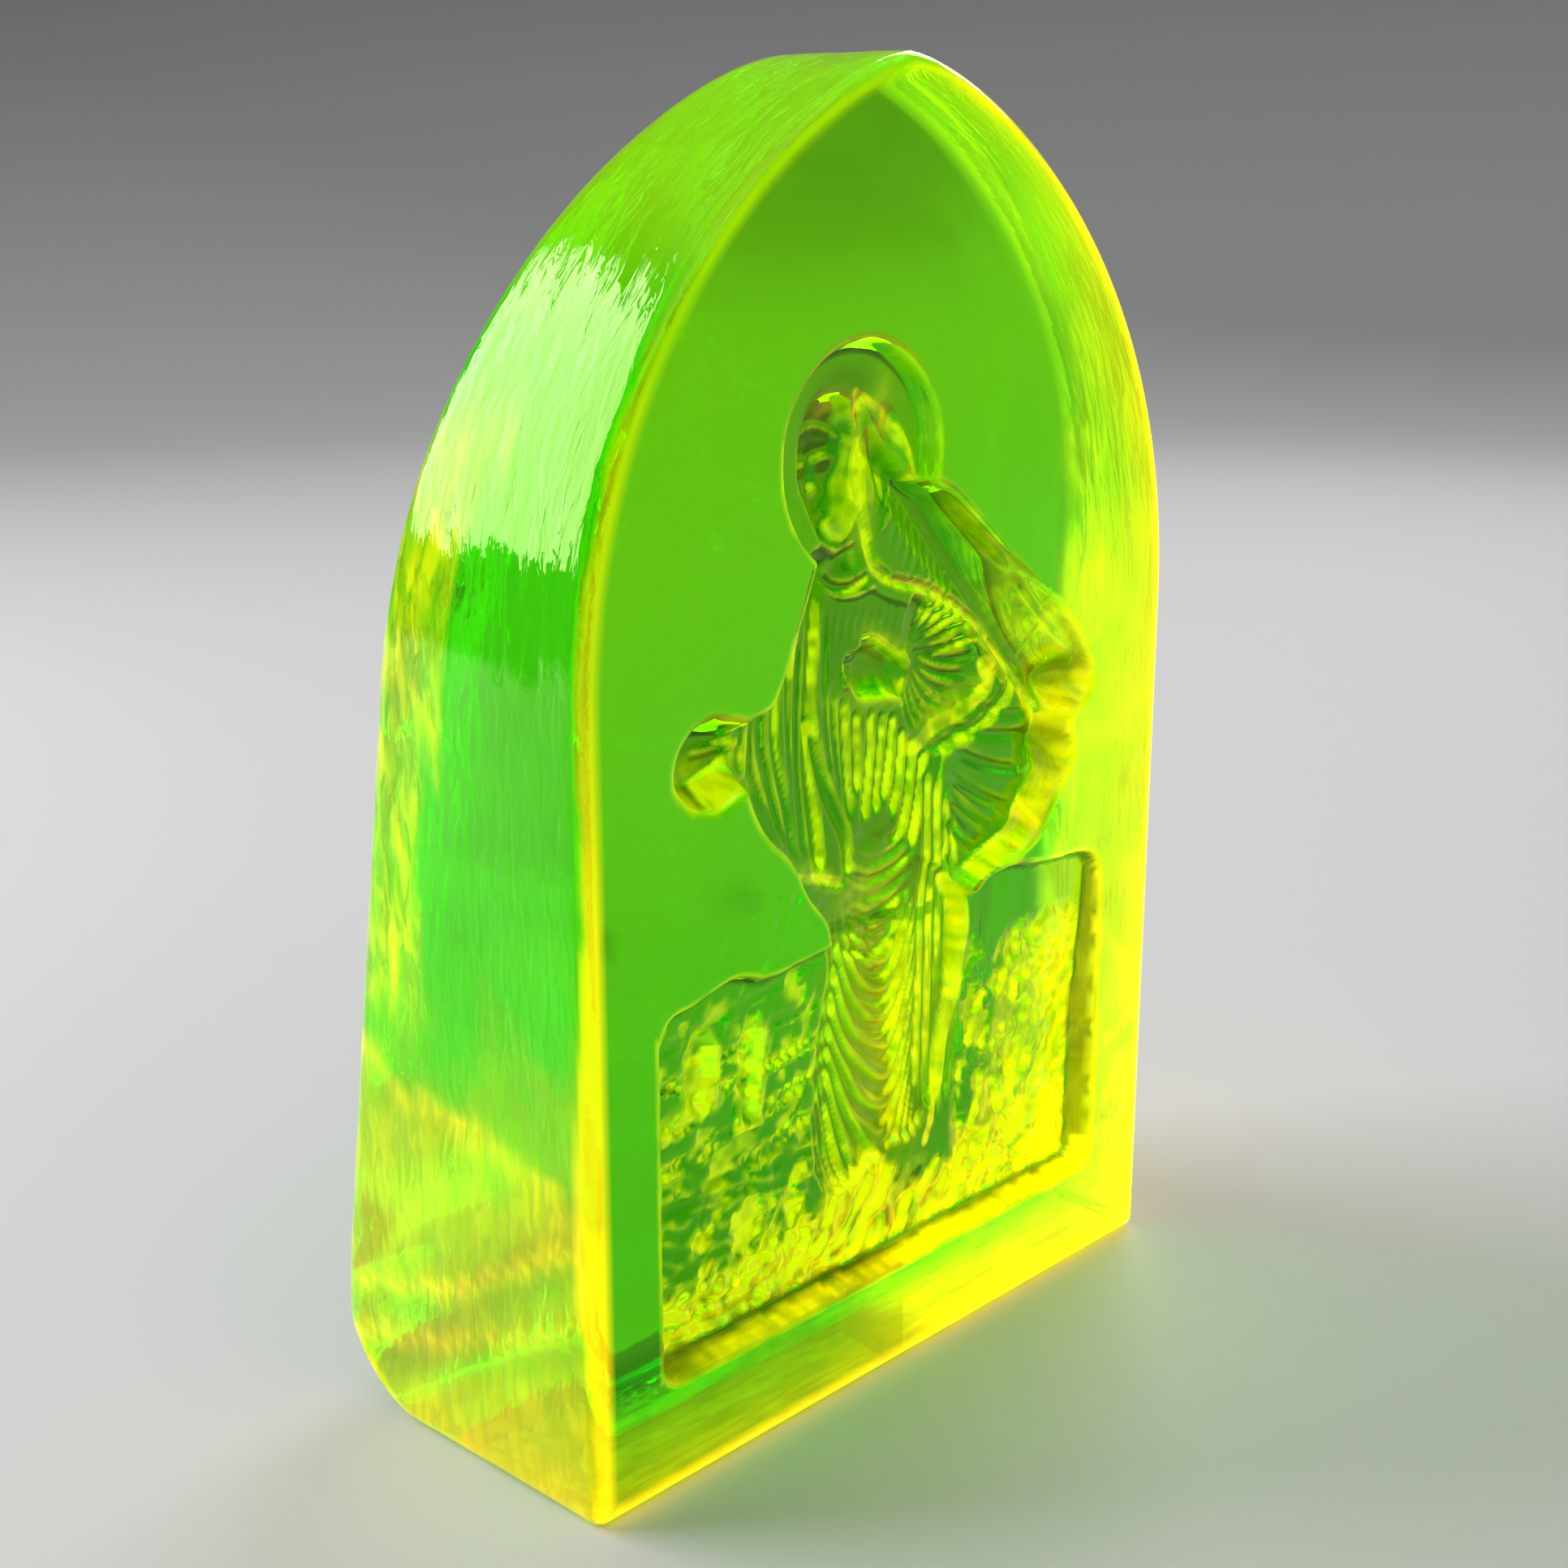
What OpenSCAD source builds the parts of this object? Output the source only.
// Cast glass block in the shape of a pointed arch, with a robed figure and
// a landscape panel sunk into its front face. Millimetres, +Z up. The base
// stands on Z = 0, centred on the origin, and the front face looks towards -Y.

/* [Block] */
// Height from the base to the tip of the arch
block_height = 120; // [112:1:130]
// Widest distance across the two sides
block_width = 78.4; // [74:0.2:86]
// Height at which the sides start to curve inwards
spring_height = 68; // [62:1:72]
// Thickness where the block stands
base_thickness = 35.6; // [32:0.4:42]
// Thickness at the tip of the arch
tip_thickness = 18.2; // [15:0.4:22]
// Rounding of the edge around the front face
front_edge = 1.6; // [0.8:0.1:2]
// Rounding of the edge around the back face
back_edge = 2.4; // [2:0.1:4]
// Rounding where the back face meets the base
heel_radius = 14; // [8:0.5:16]

/* [Relief] */
// Depth of the landscape panel at its top
panel_top_depth = 1.6; // [1:0.1:2]
// Depth of the landscape panel at its ground line
panel_low_depth = 2.8; // [2.4:0.1:3]
// Depth of the halo disc
halo_depth = 1.8; // [1.2:0.1:2.2]
// Radius of the halo disc
halo_radius = 10; // [9:0.2:11]
// Depth of the robe at the breast
robe_depth = 3.4; // [3:0.1:4]
// How far each layer of cloth lies below the next
layer_step = 0.5; // [0.3:0.1:0.6]
// How far the folds go below the cloth they are in
fold_depth = 0.7; // [0.4:0.1:1]
// Deepest point of the head
head_depth = 5.2; // [4.4:0.1:6]

/* [Hidden] */
glass = [0.45, 0.85, 0.05];
proud = 1;                       // how far a cutter stands in front of the face

half_width = block_width / 2;
arch_rise = block_height - spring_height;
corner_radius = 1.4;             // lower corners, seen from the front
shoulder_power = 1.37;           // shape of the arch: width against angle
crown_power = 0.9;               // shape of the arch: height against angle
arch_steps = 26;
side_steps = 12;
corner_steps = 5;

knee_height = 11;                // the back leans forward above this
knee_softness = 3;
back_lean = (base_thickness - tip_thickness) / (block_height - knee_height);

// ---- outline of the block, seen from the front -------------------------
function arch_point(a) =
    [half_width * pow(cos(a), shoulder_power),
     spring_height + arch_rise * pow(sin(a), crown_power)];

function right_corner(r) = [for (i = [0 : corner_steps])
    let (a = -90 + 90 * i / corner_steps)
    [half_width - r, r] + r * [cos(a), sin(a)]];
function right_side(r) = [for (i = [1 : side_steps])
    [half_width, r + (spring_height - r) * i / side_steps]];
right_arch = [for (i = [1 : arch_steps - 1])
    let (t = i / arch_steps) arch_point(90 * t * (2 - t) * 0.35 + 90 * t * 0.65)];
function right_half(r) = concat(right_corner(r), right_side(r), right_arch);
function left_half(r) = let (p = right_half(r))
    [for (i = [len(p) - 1 : -1 : 0]) [-p[i][0], p[i][1]]];
function outline(r) = concat(right_half(r), [[0, block_height]], left_half(r));
half_count = len(right_half(corner_radius));
count = 2 * half_count + 1;

// Outline drawn in by a distance. Where it is drawn in by more than the radius
// of the lower corners, they start rounder so that they don't fold over.
function unit(v) = v / norm(v);
function ring(inset) =
    let (p = outline(max(corner_radius, inset + 0.3)))
    [for (i = [0 : count - 1])
        let (t = unit(p[(i + 1) % count] - p[(i + count - 1) % count]))
        p[i] + inset * [-t[1], t[0]]];

// ---- thickness of the block at a height --------------------------------
function soft_ramp(x) =
    (x + sqrt(x * x + knee_softness * knee_softness)) / 2;
function thickness(z) = base_thickness - back_lean * soft_ramp(z - knee_height);
function heel(z) = base_thickness - heel_radius
    + sqrt(pow(heel_radius, 2) - pow(heel_radius - z, 2));
widest = max([for (z = [0 : heel_radius / 64 : heel_radius])
    min(thickness(z), heel(z))]);

// ---- rings of the shell: [inset, distance from the front or the back] ---
front_angles = [15, 32, 50, 70, 90];
back_angles = [0, 22.5, 45, 67.5, 90];
front_rings = concat(
    [[front_edge + proud, -2 * proud]],
    [for (a = front_angles) front_edge * [1 - sin(a), 1 - cos(a)]]);
back_rings = [for (a = back_angles) back_edge * [1 - cos(a), sin(a) - 1]];
ring_count = len(front_rings) + len(back_rings);

shell_points = concat(
    [for (r = front_rings) for (p = ring(r[0])) [p[0], r[1], p[1]]],
    [for (r = back_rings) for (p = ring(r[0])) [p[0], thickness(p[1]) + r[1], p[1]]]);
shell_walls = [for (k = [0 : ring_count - 2]) for (i = [0 : count - 1])
    let (j = (i + 1) % count)
    [k * count + i, k * count + j, (k + 1) * count + j, (k + 1) * count + i]];
front_cap = [[for (i = [count - 1 : -1 : 0]) i]];
back_start = (ring_count - 1) * count;
back_cap = concat(
    [for (i = [0 : half_count - 2])
        let (a = back_start + i, b = back_start + count - 1 - i)
        [a, a + 1, b - 1, b]],
    [[back_start + half_count - 1, back_start + half_count,
      back_start + half_count + 1]]);

module shell() {
    polyhedron(points = shell_points,
               faces = concat(shell_walls, front_cap, back_cap));
}

// side view of the block, rounded at the heel, as wide as the shell
module side_profile() {
    top = block_height + proud;
    deep = base_thickness + proud;
    rotate([90, 0, 90])
        linear_extrude(block_width + 2 * proud, center = true)
            union() {
                translate([0, heel_radius]) square([deep, top - heel_radius]);
                square([base_thickness - heel_radius, top]);
                translate([base_thickness - heel_radius, heel_radius])
                    circle(heel_radius, $fn = 64);
            }
}

module block() {
    intersection() {
        shell();
        side_profile();
    }
}

// ---- tools for the relief ----------------------------------------------
// Extrudes a flat shape, drawn in X and Z, from in front of the face to a depth
module sunk(depth) {
    translate([0, depth, 0]) rotate([90, 0, 0])
        linear_extrude(depth + proud) children();
}

// Places something drawn up the Z axis on the line from one point to another
module along(a, b, y) {
    run = b - a;
    translate([a[0], y, a[1]]) rotate([0, atan2(run[0], run[1]), 0]) children();
}

// Long hollow that runs out to a point at both ends, reaching a depth
module groove(a, b, radius, depth) {
    long = norm(b - a);
    along(a, b, depth - radius)
        rotate_extrude($fn = 24)
            polygon([[0, 0], [radius * 0.75, long * 0.12], [radius, long * 0.4],
                     [radius * 0.9, long * 0.75], [0, long]]);
}

// Round-bottomed channel through a list of points
module channel(points, radius, depth) {
    for (i = [0 : len(points) - 2])
        along(points[i], points[i + 1], depth - radius)
            cylinder(h = norm(points[i + 1] - points[i]), r = radius, $fn = 24);
    for (p = points)
        translate([p[0], depth - radius, p[1]])
            sphere(radius * 1.03, $fn = 24);
}

// Groove that hangs between two points like a chain
module swag(centre, bend, half_angle, radius, depth) {
    translate([centre[0], depth - radius, centre[1]])
        rotate([90, 0, 0]) rotate([0, 0, -90 - half_angle])
            rotate_extrude(angle = 2 * half_angle, $fn = 48)
                translate([bend, 0]) circle(radius, $fn = 24);
}

// Smooth closed curve through a few points
function curve_point(p, i, t) =
    let (n = len(p), a = p[(i + n - 1) % n], b = p[i], c = p[(i + 1) % n],
         d = p[(i + 2) % n])
    0.5 * (2 * b + (c - a) * t + (2 * a - 5 * b + 4 * c - d) * t * t
           + (3 * b - a - 3 * c + d) * t * t * t);
function smooth(p, steps) = [for (i = [0 : len(p) - 1])
    for (k = [0 : steps - 1]) curve_point(p, i, k / steps)];

// ---- landscape panel -----------------------------------------------------
panel_left = -31.3;
panel_right = 30;
panel_bottom = 10.3;
panel_top = 44.6;
panel_radius = 2;

module panel_shape() {
    r = panel_radius;
    for (x = [panel_left + r, panel_right - r])
        for (z = [panel_bottom + r, panel_top - r])
            translate([x, z]) circle(r, $fn = 32);
    translate([panel_left + r, panel_bottom])
        square([panel_right - panel_left - 2 * r, panel_top - panel_bottom]);
    translate([panel_left, panel_bottom + r])
        square([panel_right - panel_left, panel_top - panel_bottom - 2 * r]);
}

// the panel's floor leans inwards, so that it is deepest along the ground
module panel() {
    lean = panel_low_depth - panel_top_depth;
    intersection() {
        sunk(panel_low_depth) panel_shape();
        rotate([90, 0, 90])
            linear_extrude(block_width, center = true)
                polygon([[-2 * proud, 0], [panel_low_depth, 0],
                         [panel_low_depth, 24],
                         [panel_low_depth - lean, panel_top],
                         [-2 * proud, panel_top + proud]]);
    }
}

module cypress(x, foot, tall, radius) {
    translate([x, panel_top_depth + 0.3, foot])
        rotate_extrude($fn = 32)
            polygon([[0, 0], [radius * 0.6, 0.4], [radius, tall * 0.35],
                     [radius * 0.8, tall * 0.7], [0, tall]]);
}

module village() {
    cypress(-25.2, 31, 11, 1.9);
    cypress(-18.6, 30, 10.5, 1.8);
    for (row = [0 : 2])
        for (k = [0 : 5]) {
            x = -27.4 + 2.6 * k + 0.7 * row;
            z = 30.5 - 3.6 * row + 0.25 * k;
            translate([x, 2, z]) sphere(1.3 - 0.12 * ((k + row) % 3), $fn = 24);
        }
}

module rocks() {
    for (row = [0 : 3])
        for (k = [0 : 4 - row % 2]) {
            x = 14.2 + 3.3 * k + 1.6 * (row % 2);
            z = 22 + 3.7 * row;
            translate([x, 2.1, z]) sphere(1.7 - 0.2 * ((k + row) % 2), $fn = 24);
        }
}

module ground() {
    for (k = [0 : 8]) {
        x = -27 + 6.3 * k;
        groove([x, 13.8 + 2 * (k % 2)], [x + 6, 14.6 + 2 * (k % 2)], 1.3,
               panel_low_depth + 0.7);
    }
}

// ---- halo and head --------------------------------------------------------
halo_centre = [-6.5, 87.1];
head_centre = [-7.2, 86.2];
head_width = 9;
head_height = 13.2;
head_tilt = 8;

module halo() {
    wall_slope = 0.7;
    translate([halo_centre[0], halo_depth, halo_centre[1]])
        rotate([90, 0, 0])
            cylinder(h = halo_depth + proud, r1 = halo_radius - wall_slope,
                     r2 = halo_radius + wall_slope * proud / halo_depth,
                     $fn = 96);
}

// egg shape, larger towards the crown
module egg(width, height) {
    steps = 14;
    rotate_extrude($fn = 48)
        polygon([for (i = [0 : steps]) let (a = -90 + 180 * i / steps)
            [max(0, width / 2 * cos(a) * (1 + 0.12 * sin(a))),
             height / 2 * sin(a)]]);
}

module head() {
    translate([head_centre[0], head_depth - head_width / 2, head_centre[1]])
        rotate([0, -head_tilt, 0]) egg(head_width, head_height);
    // neck
    groove([-6.6, 82.6], [-4.8, 74.6], 2, robe_depth + layer_step);
}

// ---- veil, cloak and robe ---------------------------------------------------
veil_outline = [[-13.2, 89], [-10, 93.4], [-5, 92.8], [-1, 89], [2.5, 84.5],
                [9, 80.4], [16, 75.2], [22, 70.8], [26.5, 66], [27.4, 62.2],
                [24.8, 59.6], [24.2, 55], [20.6, 50.4], [15, 46.8], [9.6, 43.5],
                [7, 50], [4, 62], [-2, 74], [-8, 84]];
torso_outline = [[-9.6, 80.4], [-12.4, 76.4], [-13.2, 70], [-13.4, 60],
                 [-12, 51], [-9.6, 45], [3, 44], [7, 52], [9, 62], [6, 72],
                 [0, 76.6], [-4, 79.6]];
skirt_outline = [[-10.2, 48], [-9.2, 40], [-10.2, 31], [-10, 24], [-8, 19],
                 [-2, 18.6], [4, 20.4], [8.4, 24], [10, 32], [10.6, 40], [8.6, 48],
                 [0, 51]];
scarf_outline = [[-10.8, 78.6], [-9.2, 78.8], [-9.4, 70], [-8.8, 60],
                 [-7.6, 50.4], [-10, 50], [-11.2, 60], [-11.2, 70]];

module veil() {
    veil_depth = robe_depth - 2 * layer_step;
    sunk(veil_depth) polygon(smooth(veil_outline, 5));
    // the hood beside the head and the rounded upper hem of the cloak
    channel([[-4.6, 89.4], [-0.8, 85.4], [11.6, 74.6], [23, 64.6]], 2.4,
            robe_depth + 2 * layer_step);
    // pleats that spread across the hanging cloak
    for (k = [0 : 3])
        groove([10 + 1.2 * k, 61 - 3.4 * k], [22 - 3.2 * k, 55.4 - 3.2 * k],
               1, veil_depth + fold_depth);
    groove([17.6, 61.6], [23.6, 56], 1.9, robe_depth + layer_step);
}

module torso() {
    sunk(robe_depth) polygon(smooth(torso_outline, 5));
    // upright folds from the breast to the waist
    for (k = [0 : 6])
        groove([-6.4 + 1.5 * k, 66], [-5.6 + 1.25 * k, 50.4 + 0.4 * k], 0.6,
               robe_depth + fold_depth);
}

module skirt() {
    skirt_depth = robe_depth + layer_step;
    sunk(skirt_depth) polygon(smooth(skirt_outline, 5));
    // nested swags that hang from hip to hip
    for (k = [0 : 7])
        swag([-2.6, 51.2 - 3.4 * k], 6 + 0.2 * k, 56, 0.75,
             skirt_depth + fold_depth);
    // straight folds down both edges
    for (k = [0 : 2])
        groove([4.4 + 1.5 * k, 50 - 2 * k], [4.4 + 1.5 * k, 22.5 + 1.6 * k],
               0.6, skirt_depth + fold_depth);
    groove([-9, 40], [-8.6, 21.5], 0.6, skirt_depth + fold_depth);
}

// the long hanging end of the scarf
module scarf() {
    sunk(robe_depth + 2 * layer_step) polygon(smooth(scarf_outline, 4));
    groove([-8.4, 68], [-5.4, 49], 0.9, robe_depth + fold_depth + 0.2);
}

// ---- arms and hands ----------------------------------------------------------
near_sleeve_outline = [[-0.6, 73], [4, 74.4], [10, 70.6], [15.4, 65.6],
                       [15, 62.6], [9, 60.8], [4.4, 59.2], [2, 64]];
sleeve_hub = [2, 69];
far_sleeve_outline = [[-11.6, 77], [-14.4, 71.6], [-16.6, 68.6], [-20.6, 67],
                      [-21, 60.8], [-18.6, 56.6], [-15.6, 54], [-12.6, 49.6],
                      [-11, 60], [-10.6, 70]];

module near_sleeve() {
    sleeve_depth = robe_depth + 2 * layer_step - 0.2;
    sunk(sleeve_depth) polygon(smooth(near_sleeve_outline, 4));
    for (k = [0 : 6]) {
        a = 20 - 17 * k;
        way = [cos(a), sin(a)];
        groove(sleeve_hub + 3.2 * way, sleeve_hub + (10.4 - 0.4 * k) * way,
               0.6, sleeve_depth + fold_depth);
    }
}

module breast_hand() {
    groove([-6.6, 68.6], [2.4, 67.6], 2, robe_depth + 1.7);
    for (k = [0 : 3])
        groove([-4.6, 69.8 - 1.1 * k], [-7.4, 70.4 - 1.3 * k], 0.6,
               robe_depth + 1.4);
}

module far_arm() {
    sleeve_depth = robe_depth - layer_step;
    sunk(sleeve_depth) polygon(smooth(far_sleeve_outline, 4));
    // hanging folds of the wide sleeve
    for (k = [0 : 3])
        groove([-17.8 + 1.6 * k, 66.4 + 1.4 * k], [-16 + 1.4 * k, 56.4 - k],
               0.6, sleeve_depth + fold_depth);
    // open hand
    translate([-24.2, 0, 64]) rotate([0, -90, 0]) egg(7.2, 10);
    groove([-25, 64], [-17.6, 64.2], 2.4, robe_depth);
    for (k = [0 : 3])
        groove([-24.4, 65.8 - 1.3 * k], [-28.2, 66.4 - 1.7 * k], 0.8, 2.4);
}

// ---- the whole part --------------------------------------------------------------
module glass_block() {
    color(glass) translate([0, -widest / 2, 0]) difference() {
        block();
        panel();
        village();
        rocks();
        ground();
        halo();
        head();
        veil();
        torso();
        skirt();
        scarf();
        near_sleeve();
        breast_hand();
        far_arm();
    }
}

glass_block();
